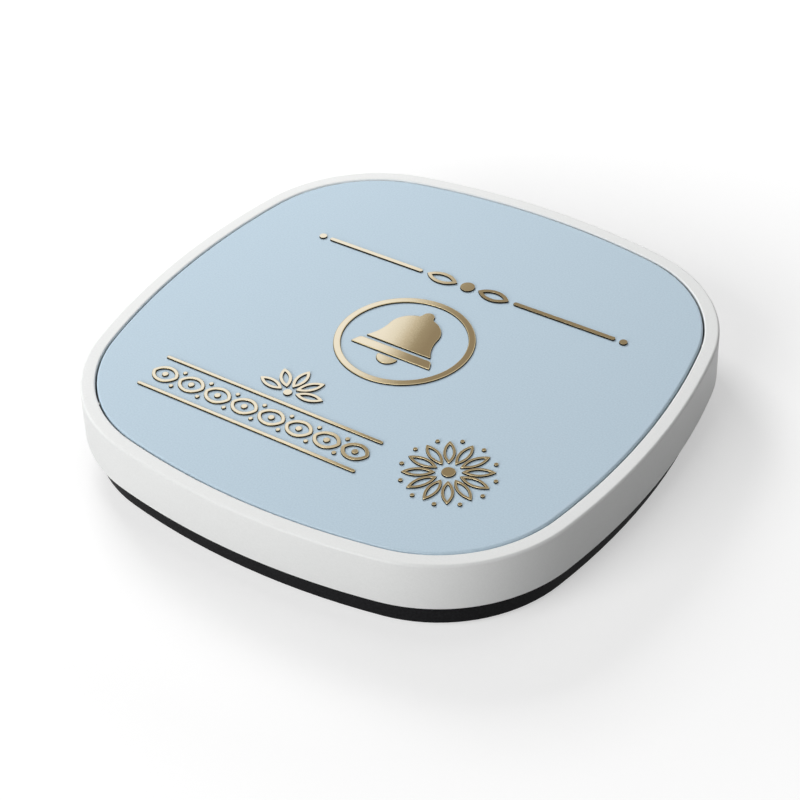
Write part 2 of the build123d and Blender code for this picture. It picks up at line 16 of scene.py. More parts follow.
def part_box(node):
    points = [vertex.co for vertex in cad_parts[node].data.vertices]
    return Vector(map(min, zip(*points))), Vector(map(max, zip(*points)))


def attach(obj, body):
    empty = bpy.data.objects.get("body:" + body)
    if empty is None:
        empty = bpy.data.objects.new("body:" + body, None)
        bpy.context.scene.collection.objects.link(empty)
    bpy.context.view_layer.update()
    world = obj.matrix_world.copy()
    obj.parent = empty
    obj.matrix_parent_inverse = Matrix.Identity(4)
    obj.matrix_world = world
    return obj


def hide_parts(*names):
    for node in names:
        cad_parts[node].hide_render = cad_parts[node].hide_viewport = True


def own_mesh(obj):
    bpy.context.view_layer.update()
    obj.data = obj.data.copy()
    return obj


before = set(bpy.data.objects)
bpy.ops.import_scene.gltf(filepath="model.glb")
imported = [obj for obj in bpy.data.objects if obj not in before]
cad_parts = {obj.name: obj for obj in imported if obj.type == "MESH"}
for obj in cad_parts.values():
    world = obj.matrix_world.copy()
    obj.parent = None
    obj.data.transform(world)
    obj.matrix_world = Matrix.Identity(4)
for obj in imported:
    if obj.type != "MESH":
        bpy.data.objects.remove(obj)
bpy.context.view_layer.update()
print("nodes:", len(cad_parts))

# %% [markdown]
# ## Sizes
# The scene is in metres, and the pad is drawn in millimetres, so one small number turns one into the other.
# The main levels are read from the engineering model, so that the new pieces sit exactly where its own do.

# %% Sizes that several pieces share
MM = 0.001
HALF = 50.0  # half of the pad's width, across the middle of a side
SIDE_RADIUS = 127.5  # plan radius of a bowed side
CORNER_RADIUS = 28.0  # plan radius of a corner
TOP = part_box("housing_ring")[1].z / MM  # level of the rim and of the plate
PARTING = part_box("housing_ring")[0].z / MM  # where the surround meets the base
PLATE_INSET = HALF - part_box("face_plate")[1].x / MM
GAP = 0.3  # between the plate and the surround
print(f"rim at {TOP:.2f} mm, parting line at {PARTING:.2f} mm, plate {PLATE_INSET:.2f} mm in")

# %% [markdown]
# ## Small helpers
# A material is a tree of nodes. One function adds a node, sets what is fixed on it and joins what flows into
# it. Colours are written as they look on a screen, and another function turns them into the linear numbers
# that light is worked out with.


# %% Helpers for materials
def linear(text):
    """A screen colour such as 'c4d4df', as linear red, green, blue and alpha."""
    parts = [int(text[i : i + 2], 16) / 255 for i in (0, 2, 4)]
    return [p / 12.92 if p <= 0.04045 else ((p + 0.055) / 1.055) ** 2.4 for p in parts] + [1.0]


def add_node(tree, kind, inputs=None, stops=(), **settings):
    """Adds a node. An input is a number, a colour or another node's output. Stops colour a ramp."""
    node = tree.nodes.new(kind)
    for name, value in settings.items():
        setattr(node, name, value)
    for name, value in (inputs or {}).items():
        if isinstance(value, bpy.types.NodeSocket):
            tree.links.new(value, node.inputs[name])
        else:
            node.inputs[name].default_value = value
    for position, tone in stops[1:-1]:
        node.color_ramp.elements.new(position)
    for number, (position, tone) in enumerate(stops):
        node.color_ramp.elements[number].position = position
        node.color_ramp.elements[number].color = linear(tone)
    return node


def new_material(name):
    """An empty material with its output node, and the node's surface socket."""
    material = bpy.data.materials.new(name)
    material.use_nodes = True
    material.node_tree.nodes.clear()
    output = add_node(material.node_tree, "ShaderNodeOutputMaterial")
    return material, material.node_tree, output.inputs["Surface"]


print("white paper is", [round(c, 3) for c in linear("ffffff")[:3]])

# %% [markdown]
# ## Finishes
# No real surface is perfectly even, and a flat colour looks like paper. So a fine noise moves the colour
# between two near tones and also raises a very shallow bump. The bump breaks up the reflections, and that is
# what makes a plastic look moulded and not drawn. Each call gives a finish its name, its two tones, the size
# and the depth of its grain in millimetres, and its roughness. Real mould grain is about a tenth of a
# millimetre and would vanish in the picture, so it is drawn two to five times as coarse.


# %% Grained finishes
def grain(tree, size_mm, height_mm, detail):
    """A fine bump, and the noise it is made from."""
    place = add_node(tree, "ShaderNodeTexCoord").outputs["Object"]
    settings = {"Vector": place, "Scale": 1 / (size_mm * MM), "Detail": detail, "Roughness": 0.6}
    noise = add_node(tree, "ShaderNodeTexNoise", settings).outputs["Fac"]
    bump = add_node(tree, "ShaderNodeBump", {"Height": noise, "Distance": height_mm * MM})
    return bump.outputs["Normal"], noise


def grained(name, tones, grain_mm, depth_mm, roughness, more, detail=2.0):
    """A material with a fine grain, whose colour wanders between two near tones."""
    material, tree, surface = new_material(name)
    normal, noise = grain(tree, grain_mm, depth_mm, detail)
    stops = ((0.3, tones[0]), (0.7, tones[1]))
    colour = add_node(tree, "ShaderNodeValToRGB", {"Fac": noise}, stops).outputs["Color"]
    inputs = {"Base Color": colour, "Roughness": roughness, "Normal": normal}
    shader = add_node(tree, "ShaderNodeBsdfPrincipled", {**inputs, **more})
    tree.links.new(shader.outputs["BSDF"], surface)
    return material


# Injection-moulded ABS, left satin by the mould: broad soft highlights on a nearly neutral white.
WHITE_ABS = grained("white_abs_satin", ("edeeed", "f1f2f1"), 0.35, 0.004, 0.42, {"IOR": 1.54})
# Sprayed satin lacquer: tiny orange-peel waves take the sharpness out of reflections.
BLUE_LACQUER = grained("blue_satin_lacquer", ("bacedc", "c4d7e4"), 0.3, 0.007, 0.45, {"IOR": 1.5})
# Black ABS from a spark-eroded mould, the coarsest grain of the pad: its pits swallow light, so it stays
# dark and hardly reflects.
BLACK_ABS = grained(
    "black_abs_grained",
    ("1a1a1b", "262628"),
    0.4,
    0.02,
    0.42,
    {"IOR": 1.54, "Specular IOR Level": 0.03},
    detail=3.0,
)
print("made", WHITE_ABS.name, BLUE_LACQUER.name, BLACK_ABS.name)

# %% [markdown]
# The bell, its ring and the ornaments are etched from one satin brass sheet. Brass is a metal, so its colour
# tints the reflection, and fine brushing keeps the reflection soft. The colour carries painted light: pale
# champagne on the left, as if the metal mirrored a bright lamp, fading to shaded bronze on the right. The
# fade is long across the ring and the ornaments, and shorter across the bell. It could be painted piece by
# piece,
# but a gradient fits them all: a mapping node stands where the fade starts, turned along it and as wide as
# it.
# Each top edge has a narrow bevel in an even, lighter brass with a little less roughness: partly polished
# metal, partly a painted highlight that draws a bright line. The walls below it are painted near black, as
# shade.

# %% Satin brass of the sign
SIGN_X, SIGN_Y = -0.3, 0.9  # middle of the bell's ring
FADE_TURN = radians(11)  # from straight across, towards the back
LIT_TO_SHADED_STOPS = (  # place along the fade, and the painted colour there, from lit to shaded
    (0.0, "efe7d3"),
    (0.38, "ebe0c8"),
    (0.47, "e0d4b9"),
    (0.55, "c5b595"),
    (0.64, "9b8a69"),
    (0.72, "8e7c5c"),
    (1.0, "8b7959"),
)
MOTTLE = 0.1  # share of the fade's length by which the painted colour wanders at random


def brass_with_painted_light(name, length):
    """Satin brass with painted light: it fades from lit champagne to shaded bronze over a length in
    millimetres.
    """
    material, tree, surface = new_material(name)
    place = add_node(tree, "ShaderNodeTexCoord").outputs["Object"]
    start_x = SIGN_X - length / 2 * cos(FADE_TURN)
    start_y = SIGN_Y - length / 2 * sin(FADE_TURN)
    inputs = {
        "Vector": place,
        "Location": (start_x * MM, start_y * MM, 0),
        "Rotation": (0, 0, FADE_TURN),
        "Scale": [length * MM] * 3,
    }
    mapping = add_node(tree, "ShaderNodeMapping", inputs, vector_type="TEXTURE")
    fade = add_node(tree, "ShaderNodeTexGradient", {"Vector": mapping.outputs["Vector"]})
    normal, noise = grain(tree, size_mm=0.25, height_mm=0.004, detail=3.0)
    inputs = {0: noise, 1: MOTTLE, 2: fade.outputs["Fac"]}
    mottled = add_node(tree, "ShaderNodeMath", inputs, operation="MULTIPLY_ADD").outputs[0]
    tone = add_node(tree, "ShaderNodeValToRGB", {"Fac": mottled}, LIT_TO_SHADED_STOPS)
    inputs = {"Base Color": tone.outputs["Color"], "Metallic": 1.0, "Roughness": 0.34, "Normal": normal}
    shader = add_node(tree, "ShaderNodeBsdfPrincipled", inputs)
    tree.links.new(shader.outputs["BSDF"], surface)
    return material


# Both fades are painted light: lit champagne on the left, shaded bronze on the right.
SIGN_BRASS_PAINTED_LIGHT = brass_with_painted_light("satin_brass_long_painted_light", 44.0)
BELL_BRASS_PAINTED_LIGHT = brass_with_painted_light("satin_brass_short_painted_light", 24.0)
METAL = {"Metallic": 1.0}
# An even, lighter brass on the bevels: partly polished metal that mirrors the room more sharply than the
# satin faces, partly a painted highlight that draws a bright line along every top edge.
BEVEL_BRASS_PAINTED_HIGHLIGHT = grained("brass_bevel_painted_highlight", ("c0b08a", "cdbe9a"), 0.1, 0.001, 0.3, METAL)
# Painted shade on the walls of the raised metal: near black, matt and hardly reflecting, so it is no metal
# to the eye.
MATT = {"Specular IOR Level": 0.1}
WALL_BRASS_PAINTED_SHADE = grained("brass_wall_painted_shade", ("0e0b07", "171209"), 0.12, 0.002, 0.8, MATT)
print("made", SIGN_BRASS_PAINTED_LIGHT.name, BELL_BRASS_PAINTED_LIGHT.name, BEVEL_BRASS_PAINTED_HIGHLIGHT.name, WALL_BRASS_PAINTED_SHADE.name)

# %% [markdown]
# The hidden pieces are finished too, because somebody may take the part apart: nitrile rubber feet, a glass
# laminate board with its green solder mask, nickel-plated spring steel, stainless steel round the cell,
# natural moulded plastic, black epoxy chips and a brass antenna.

# %% Finishes of the pieces inside and underneath
# Moulded rubber, the mattest of all, with a dusty grain.
DUSTY = {"IOR": 1.52, "Specular IOR Level": 0.2}
RUBBER = grained("nitrile_rubber", ("101010", "191919"), 0.5, 0.015, 0.75, DUSTY)
# ABS without pigment: a warm, slightly yellow white.
NATURAL_ABS = grained("natural_moulded_abs", ("e2e0d8", "e8e6df"), 0.5, 0.008, 0.5, {"IOR": 1.54})
# Green lacquer over glass cloth, whose weave moves the green a little.
SOLDER_MASK = grained("green_solder_mask", ("0f4a2c", "145434"), 0.8, 0.004, 0.3, {"IOR": 1.5})
# Transfer-moulded epoxy round a chip: dark grey, with a faint sparkle of filler.
EPOXY = grained("black_moulded_epoxy", ("1b1b1d", "232325"), 0.15, 0.006, 0.6, {"IOR": 1.55})
# Acetal, machined smooth: a waxy black.
PLUNGER = grained("black_acetal", ("202022", "27272a"), 0.2, 0.003, 0.4, {"IOR": 1.48})
# Bright nickel on drawn wire and strip.
NICKEL = grained("nickel_plated_spring_steel", ("b4b2ac", "c0beb8"), 0.2, 0.002, 0.25, METAL)
# Pressed stainless steel, cooler and a little softer than the nickel.
STAINLESS = grained("satin_stainless_steel", ("b8b7b4", "c4c3c0"), 0.15, 0.002, 0.3, METAL)
# Rolled brass strip of the antenna.
SHEET_BRASS = grained("rolled_brass_strip", ("b99a5b", "c7a968"), 0.25, 0.002, 0.28, METAL)
# Fired ceramic bodies of the smallest parts.
CERAMIC = grained("fired_ceramic_chip", ("8a6f52", "96795a"), 0.1, 0.002, 0.5, {"IOR": 1.6})
# Foam tape with open cells along its edge.
TAPE = grained("acrylic_foam_tape", ("d9d8d2", "e4e3de"), 0.3, 0.02, 0.8, {"IOR": 1.47})

CORNERS = ("front_left", "front_right", "back_left", "back_right")
FINISHES = {
    "housing_ring": WHITE_ABS,
    "base_tray": BLACK_ABS,
    "battery_door": BLACK_ABS,
    "face_plate": BLUE_LACQUER,
    "face_tape": TAPE,
    "key_carrier": NATURAL_ABS,
    "coin_cell": STAINLESS,
    "positive_contact": NICKEL,
    "negative_contact": NICKEL,
    "circuit_board": SOLDER_MASK,
    "switch_body": EPOXY,
    "switch_plunger": PLUNGER,
    "microcontroller": EPOXY,
    "saw_resonator": STAINLESS,
    "crystal": STAINLESS,
    "loop_antenna": SHEET_BRASS,
    "chip_parts": CERAMIC,
}
FINISHES.update({f"rubber_foot_{corner}": RUBBER for corner in CORNERS})
FINISHES.update({f"return_spring_{corner}": NICKEL for corner in CORNERS})
FINISHES.update({f"sign_{shape}": BELL_BRASS_PAINTED_LIGHT for shape in ("bell", "brim", "clapper")})
FINISHES["sign_ring"] = SIGN_BRASS_PAINTED_LIGHT
for node, finish in FINISHES.items():
    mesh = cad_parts[node].data
    mesh.materials.clear()
    mesh.materials.append(finish)
print("finished", len(FINISHES), "of", len(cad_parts), "nodes")

# %% [markdown]
# ## The pad's outline
# Every large piece follows one outline: four sides bowed outwards and four broad corners, eight arcs that
# run smoothly into each other. A rounded square would be too straight, and its corners would join with a
# visible break. A draughtsman would swing each arc with a compass, and the spin operator does the same: it
# swings a vertex round a centre and leaves edges behind it. A smaller outline has the same centres and
# smaller radii, so it runs at the same distance all the way round.

# %% Swing the eight arcs
BOW = SIDE_RADIUS - HALF  # how far a side's centre lies beyond the middle of the pad
CORNER_CENTRE = (sqrt(2 * (SIDE_RADIUS - CORNER_RADIUS) ** 2 - BOW**2) - BOW) / 2
SIDE_TURN = atan2(CORNER_CENTRE, CORNER_CENTRE + BOW)
ARC_STEPS = 40  # edges in each of the eight arcs


def swing(bm, vertex, centre, angle, steps):
    """Swings a vertex about an upright axis, and returns the last vertex."""
    result = bmesh.ops.spin(
        bm,
        geom=[vertex],
        cent=(centre[0] * MM, centre[1] * MM, vertex.co.z),
        axis=(0, 0, 1),
        angle=angle,
        steps=steps,
    )
    return [v for v in result["geom_last"] if isinstance(v, bmesh.types.BMVert)][0]


def outline(bm, inset, level):
    """The pad's outline as a closed loop of edges, inset and level in millimetres."""
    before = set(bm.edges)
    radius = SIDE_RADIUS - inset
    start = (radius * cos(SIDE_TURN) - BOW, -radius * sin(SIDE_TURN))
    first = last = bm.verts.new((start[0] * MM, start[1] * MM, level * MM))
    for quarter in range(4):
        turn = Matrix.Rotation(quarter * pi / 2, 2)
        last = swing(bm, last, turn @ Vector((-BOW, 0)), 2 * SIDE_TURN, ARC_STEPS)
        corner = turn @ Vector((CORNER_CENTRE, CORNER_CENTRE))
        last = swing(bm, last, corner, pi / 2 - 2 * SIDE_TURN, ARC_STEPS)
    bmesh.ops.pointmerge(bm, verts=[first, last], merge_co=first.co)
    return [e for e in bm.edges if e not in before]


trial = bmesh.new()
loop = outline(trial, 0, TOP)
reach = max(hypot(v.co.x, v.co.y) for v in trial.verts) / MM
print(f"{len(loop)} edges, {reach:.2f} mm from the middle to a corner")
trial.free()

# %% [markdown]
# ## Turning loops into pieces
# A moulding with this outline is a stack of loops, like the hoops of a barrel, joined by bridges. One solid
# cut out of another would give the same shape, but ragged faces along the cut. Loops keep the faces in
# order, and where the real edge is soft, the loop there is bevelled with several segments. A weighted-normal
# modifier keeps the flats flat and lets only the soft edges shade round.


# %% Bridge, bevel and finish
def bridge(bm, loops):
    """Walls from each loop to the next."""
    for one, other in zip(loops, loops[1:]):
        bmesh.ops.bridge_loops(bm, edges=one + other)


def fill_between(bm, one, other):
    """A flat ledge between two loops on one level."""
    bmesh.ops.triangle_fill(bm, edges=one + other, use_beauty=True, use_dissolve=True)


def soften(bm, geometry, radius_mm, segments=5, affect="EDGES"):
    """Rounds a loop of edges, or the corners of a flat shape."""
    bmesh.ops.bevel(
        bm,
        geom=geometry,
        offset=radius_mm * MM,
        offset_type="OFFSET",
        segments=segments,
        profile=0.5,
        affect=affect,
        material=-1,
        clamp_overlap=True,
    )


BEVEL_ANGLE = radians(32)  # rounds true corners and leaves the facets of a curve alone


def make_piece(bm, name, body, materials, replaced=(), edge_mm=0.0):
    """Turns a bmesh into a smooth piece that rides on a body and stands for nodes."""
    mesh = bpy.data.meshes.new(name)
    bm.to_mesh(mesh)
    bm.free()
    for material in materials:
        mesh.materials.append(material)
    mesh.shade_smooth()
    piece = bpy.data.objects.new(name, mesh)
    bpy.context.scene.collection.objects.link(piece)
    if edge_mm:
        rounded = piece.modifiers.new("soft_edges", "BEVEL")
        rounded.width = edge_mm * MM
        rounded.segments = 3
        rounded.limit_method = "ANGLE"
        rounded.angle_limit = BEVEL_ANGLE
    weighted = piece.modifiers.new("flat_faces_stay_flat", "WEIGHTED_NORMAL")
    weighted.weight = 100
    weighted.keep_sharp = True
    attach(piece, body)
    for node in replaced:
        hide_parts(node)
    print(f"{name}: {len(mesh.polygons)} faces")
    return piece


# %% [markdown]
# ## The white surround
# The surround is one moulding. Its outer wall leans in by a degree, so that it leaves the mould. Its rim is
# thick, with a well-rounded outer edge, and the ledge under the rim stops the plate from coming out. A
# solidify modifier would make one thickness everywhere, so the loops run round its section instead, like a
# closed chain. A pocket in the middle of each inner wall takes a snap bead of the base: the wall's faces
# there are pushed outwards by half a millimetre.

# %% Surround
WALL = 1.6  # thickness of the wall below the ledge
LEDGE = TOP - 2.6  # level of the ledge under the thick rim
DRAFT = 0.16  # how far the wall leans in over its height
RIM = PLATE_INSET - GAP  # plan width of the rim
POCKET_FOOT = PARTING + 1.6
POCKET_HEAD = PARTING + 2.7
POCKET_HALF = 8.2  # half of a pocket's length
POCKET_DEPTH = 0.5
SOFT_RIM = 0.5  # radius of the rim's outer edge
SOFT_OPENING = 0.28  # radius round the plate
SOFT_FOOT = 0.2

bm = bmesh.new()
foot_outer = outline(bm, 0.0, PARTING)
rim_outer = outline(bm, DRAFT, TOP)
rim_inner = outline(bm, RIM, TOP)
ledge_inner = outline(bm, RIM, LEDGE)
ledge_outer = outline(bm, WALL, LEDGE)
pocket_head = outline(bm, WALL, POCKET_HEAD)
pocket_foot = outline(bm, WALL, POCKET_FOOT)
foot_inner = outline(bm, WALL, PARTING)
bridge(bm, [foot_outer, rim_outer, rim_inner, ledge_inner])
bridge(bm, [ledge_outer, pocket_head, pocket_foot, foot_inner])
fill_between(bm, ledge_inner, ledge_outer)
fill_between(bm, foot_inner, foot_outer)
pockets = []
for face in bm.faces:
    middle = face.calc_center_median() / MM
    if POCKET_FOOT < middle.z < POCKET_HEAD and min(abs(middle.x), abs(middle.y)) < POCKET_HALF:
        pockets.append(face)
pushed = bmesh.ops.extrude_face_region(bm, geom=pockets)["geom"]
grow = 1 + POCKET_DEPTH / (HALF - WALL)
pocket_corners = [v for v in pushed if isinstance(v, bmesh.types.BMVert)]
bmesh.ops.scale(bm, vec=(grow, grow, 1), verts=pocket_corners)
bmesh.ops.delete(bm, geom=pockets, context="FACES")
bmesh.ops.recalc_face_normals(bm, faces=bm.faces)
soften(bm, rim_outer, SOFT_RIM, 7)
soften(bm, rim_inner, SOFT_OPENING, 4)
soften(bm, foot_outer, SOFT_FOOT, 3)
make_piece(bm, "surround", "case", [WHITE_ABS], ["housing_ring"])

# %% [markdown]
# ## The blue plate
# The plate lies flush in the surround, 0.3 mm clear of it all round, and the narrow gap shows as a fine dark
# line. It could be one filled loop with a thickness, but with two loops the upper one is at hand to be
# bevelled, because the plate's edge is soft under its lacquer.

# %% Plate
PLATE_THICKNESS = 1.5
SOFT_PLATE = 0.42  # radius of its upper edge

bm = bmesh.new()
plate_low = outline(bm, PLATE_INSET, TOP - PLATE_THICKNESS)
plate_high = outline(bm, PLATE_INSET, TOP)
bridge(bm, [plate_low, plate_high])
bmesh.ops.edgeloop_fill(bm, edges=plate_low)
bmesh.ops.edgeloop_fill(bm, edges=plate_high)
bmesh.ops.recalc_face_normals(bm, faces=bm.faces)
soften(bm, plate_high, SOFT_PLATE, 6)
make_piece(bm, "button_plate", "press_plate", [BLUE_LACQUER], ["face_plate"])

# %% [markdown]
# ## The black base, its door and its feet
# These are machine parts with many small features, and modelling them again would only bring in mistakes.
# What their engineering meshes lack is soft edges: a mould is never quite sharp, and an edge without a
# highlight looks like paper. So a copy of the mesh is merged, its flat faces are joined up, and a bevel
# modifier then rounds every sharp edge.


# %% Copies with soft edges
SAME_PLACE = 0.002  # corners of loose triangles closer than this are one
SAME_PLANE = radians(1.0)  # neighbours that turn less than this are one flat face


def softened(name, node, body, material, edge_mm):
    """A merged copy of a CAD node whose sharp edges are rounded."""
    bm = bmesh.new()
    bm.from_mesh(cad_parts[node].data)
    bmesh.ops.remove_doubles(bm, verts=bm.verts, dist=SAME_PLACE * MM)
    bmesh.ops.dissolve_limit(bm, angle_limit=SAME_PLANE, verts=bm.verts, edges=bm.edges)
    bmesh.ops.recalc_face_normals(bm, faces=bm.faces)
    return make_piece(bm, name, body, [material], [node], edge_mm)


softened("base_shell", "base_tray", "case", BLACK_ABS, edge_mm=0.12)
softened("coin_door", "battery_door", "door", BLACK_ABS, edge_mm=0.1)
for corner in CORNERS:
    softened(f"foot_{corner}", f"rubber_foot_{corner}", "case", RUBBER, edge_mm=0.2)

# %% [markdown]
# Four springs push the plate up. They stand on the base, and on the real pad they get shorter by as much as
# the plate goes down. If they rode on the plate, their feet would go through the base, so each one rides on
# the base and gets a mesh of its own.

# %% Springs
for corner in CORNERS:
    node = f"return_spring_{corner}"
    spring = softened(f"spring_{corner}", node, "case", NICKEL, edge_mm=0)
    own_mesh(spring)

# %% [markdown]
# ## Raised metal
# The bell, the ring and the ornaments are thin metal. A printed picture with a bump would look flat from the
# side and catch no light along its edges, so each one is a flat shape that is raised and then bevelled along
# its top. Light runs along that narrow bevel, and a lighter brass painted on it as a highlight draws the
# fine bright line that makes metal look crisp. The edge below the bevel is painted near black, as shade.

# %% Raise a flat shape
SIGN_HEIGHT = 0.3
BOLD_BEVEL = 0.12  # on the bell and its ring
FINE_BEVEL = 0.08  # on the ornaments
FLARE = 0.04  # how far the walls lean in over their height
FLAT, SLANTING = 0.99, 0.4  # least upward part of the normal on a top face, and on a bevel


def raise_sign(bm, name, replaced=(), brass=SIGN_BRASS_PAINTED_LIGHT, bevel_mm=FINE_BEVEL):
    """Raises the flat faces in bm off the plate, flares their walls and bevels their top edges."""
    bm.normal_update()
    bmesh.ops.reverse_faces(bm, faces=[f for f in bm.faces if f.normal.z < 0])
    tops = bm.faces[:]
    evenly = {"use_boundary": True, "use_even_offset": True, "thickness": FLARE * MM}
    walls = bmesh.ops.inset_region(bm, faces=tops, depth=SIGN_HEIGHT * MM, **evenly)["faces"]
    wall_edges = {e for f in walls for e in f.edges}
    rims = [e for f in tops for e in f.edges if e in wall_edges]
    soften(bm, rims, bevel_mm, 3)
    bm.normal_update()
    for face in bm.faces:
        upward = abs(face.normal.z)
        face.material_index = (upward <= FLAT) + (upward <= SLANTING)  # 0 top, 1 bevel, 2 wall
    finishes = [brass, BEVEL_BRASS_PAINTED_HIGHLIGHT, WALL_BRASS_PAINTED_SHADE]  # of the tops, the bevels with a painted highlight, and the walls with painted shade
    make_piece(bm, name, "press_plate", finishes, replaced)


def point(bm, x, y):
    """A vertex on the plate, in millimetres from the middle of the bell's ring."""
    return bm.verts.new(((SIGN_X + x) * MM, (SIGN_Y + y) * MM, TOP * MM))


def turn_about(bm, vertex, x, y, angle, steps):
    """Swings a vertex about a point of the sign and returns the last vertex."""
    return swing(bm, vertex, (SIGN_X + x, SIGN_Y + y), angle, steps)


RING_OUTER, RING_INNER = 12.45, 11.15  # radii

bm = bmesh.new()
for radius in (RING_OUTER, RING_INNER):
    bmesh.ops.spin(
        bm,
        geom=[point(bm, radius, 0)],
        cent=(SIGN_X * MM, SIGN_Y * MM, TOP * MM),
        axis=(0, 0, 1),
        angle=2 * pi,
        steps=144,
        use_merge=True,
    )
bmesh.ops.triangle_fill(bm, edges=bm.edges, use_beauty=True, use_dissolve=True)
raise_sign(bm, "bell_ring", ["sign_ring"], SIGN_BRASS_PAINTED_LIGHT, BOLD_BEVEL)

# %% [markdown]
# The bell is symmetrical, so only its right half is drawn, with compass arcs: a flare from the lip up to the
# waist, the dome, and a small round knob. The dome is a quarter circle made a little flatter. The half is
# then mirrored and merged along the middle, and the lip's two sharp corners are rounded.


# %% Bell
SEAM = 0.004  # vertices closer than this are one, where drawn lines meet
AT_CORNER = 0.01  # how near to a corner's place its vertex is


def mirror_half(bm):
    """Mirrors what is drawn across the sign's middle line, and merges it there."""
    bmesh.ops.mirror(
        bm,
        geom=bm.verts[:] + bm.edges[:],
        matrix=Matrix.Translation((-SIGN_X * MM, 0, 0)),
        merge_dist=0.0,
        axis="X",
    )
    bmesh.ops.remove_doubles(bm, verts=bm.verts, dist=SEAM * MM)


def corners_at(bm, x, y):
    """The vertices of a sign at a place and at its mirror image."""
    found = []
    for v in bm.verts:
        across, up = v.co.x / MM - SIGN_X, v.co.y / MM - SIGN_Y
        if hypot(abs(across) - x, up - y) < AT_CORNER:
            found.append(v)
    return found


WAIST, WAIST_Y = 5.0, 2.95  # half the bell's width under the dome, and its height over the ring's middle
LIP, LIP_Y = 6.7, -2.05
KNOB, KNOB_Y = 1.15, 7.8
DOME = 4.5  # height
NECK = 0.25  # where the dome runs into the knob, outside of it
SOFT_TIP = 0.3  # radius of a small corner

bm = bmesh.new()
drop, out = WAIST_Y - LIP_Y, LIP - WAIST
flare = (drop**2 + out**2) / (2 * out)  # radius of the arc that falls by drop and goes out by out
flare_angle = atan2(drop, flare - out)
lip = turn_about(bm, point(bm, WAIST, WAIST_Y), WAIST + flare, WAIST_Y, flare_angle, 12)
bm.edges.new((lip, point(bm, 0, LIP_Y)))
before = set(bm.verts)
meet = KNOB + NECK
dome_angle = atan2(sqrt(WAIST**2 - meet**2), meet)
shoulder = turn_about(bm, point(bm, WAIST, WAIST_Y), 0, WAIST_Y, dome_angle, 28)
flatten = Matrix.Translation((0, -(SIGN_Y + WAIST_Y) * MM, 0))
dome_verts = [v for v in bm.verts if v not in before]
bmesh.ops.scale(bm, vec=(1, DOME / WAIST, 1), space=flatten, verts=dome_verts)
neck = point(bm, KNOB, KNOB_Y)
bm.edges.new((shoulder, neck))
turn_about(bm, neck, 0, KNOB_Y, pi / 2, 12)
bmesh.ops.remove_doubles(bm, verts=bm.verts, dist=SEAM * MM)
mirror_half(bm)
bmesh.ops.edgeloop_fill(bm, edges=bm.edges[:])
soften(bm, corners_at(bm, LIP, LIP_Y), SOFT_TIP, 5, "VERTICES")
raise_sign(bm, "bell", ["sign_bell"], BELL_BRASS_PAINTED_LIGHT, BOLD_BEVEL)

# %% [markdown]
# The brim is a bar with slanting ends. It starts as four vertices, and its corners are bevelled while it is
# still flat, the upper ones more than the lower ones. The clapper is half a disc that hangs under it: one
# swing of half a turn, closed by a straight edge.

# %% Brim and clapper
BRIM_TOP, BRIM_TOP_Y = 7.3, -2.75  # half its width above, and the level there
BRIM_FOOT, BRIM_FOOT_Y = 8.15, -4.8
SOFT_SHOULDER = 0.6  # radius of its upper corners

bm = bmesh.new()
right_side = ((BRIM_FOOT, BRIM_FOOT_Y), (BRIM_TOP, BRIM_TOP_Y))
left_side = ((-BRIM_TOP, BRIM_TOP_Y), (-BRIM_FOOT, BRIM_FOOT_Y))
bmesh.ops.contextual_create(bm, geom=[point(bm, x, y) for x, y in right_side + left_side])
soften(bm, corners_at(bm, BRIM_TOP, BRIM_TOP_Y), SOFT_SHOULDER, 6, "VERTICES")
soften(bm, corners_at(bm, BRIM_FOOT, BRIM_FOOT_Y), SOFT_TIP, 5, "VERTICES")
raise_sign(bm, "bell_brim", ["sign_brim"], BELL_BRASS_PAINTED_LIGHT, BOLD_BEVEL)

CLAPPER, CLAPPER_Y = 2.05, -5.3  # radius, and the level of its flat top

bm = bmesh.new()
left = point(bm, -CLAPPER, CLAPPER_Y)
right = turn_about(bm, left, 0, CLAPPER_Y, pi, 18)
bm.edges.new((right, left))
bmesh.ops.edgeloop_fill(bm, edges=bm.edges[:])
soften(bm, corners_at(bm, CLAPPER, CLAPPER_Y), SOFT_TIP, 5, "VERTICES")
raise_sign(bm, "bell_clapper", ["sign_clapper"], BELL_BRASS_PAINTED_LIGHT, BOLD_BEVEL)

# %% [markdown]
# ## Ornaments
# Three ornaments of the same metal keep the bell company: a divider above it, a border with a fan at the
# lower left and a rosette at the lower right. All three are drawn from leaves, dots and bars. A leaf is a
# pointed oval, two arcs that meet at their tips, and an open leaf has a smaller leaf inside it, whose arcs
# keep the same centres, so that the line between them is equally wide all round.


# %% Leaves, dots and bars
LEAF_STEPS = 12  # edges in each arc of a leaf
DOT_SIDES = 24
END_STEPS = 10  # edges in the round end of a bar


def placed(x, y, turn=0.0, away=0.0):
    """Puts a shape away from a place in a direction, in millimetres and degrees."""
    shift = Matrix.Translation((x * MM, y * MM, TOP * MM))
    return shift @ Matrix.Rotation(radians(turn), 4, "Z") @ Matrix.Translation((away * MM, 0, 0))


def edges_of(verts):
    """The edges at some vertices, each one once and always in the same order."""
    return list(dict.fromkeys(e for v in verts for e in v.link_edges))


def pointed_oval(bm, length, width, inset):
    """A closed outline of two arcs, its length along X, moved inwards by inset."""
    radius = (length**2 + width**2) / (4 * width)
    centre = radius - width / 2
    reach = sqrt((radius - inset) ** 2 - centre**2)
    angle = 2 * asin(reach / (radius - inset))
    tip = bm.verts.new((reach * MM, 0, 0))
    other = swing(bm, tip, (0, -centre), angle, LEAF_STEPS)
    last = swing(bm, other, (0, centre), angle, LEAF_STEPS)
    bmesh.ops.pointmerge(bm, verts=[tip, last], merge_co=tip.co)


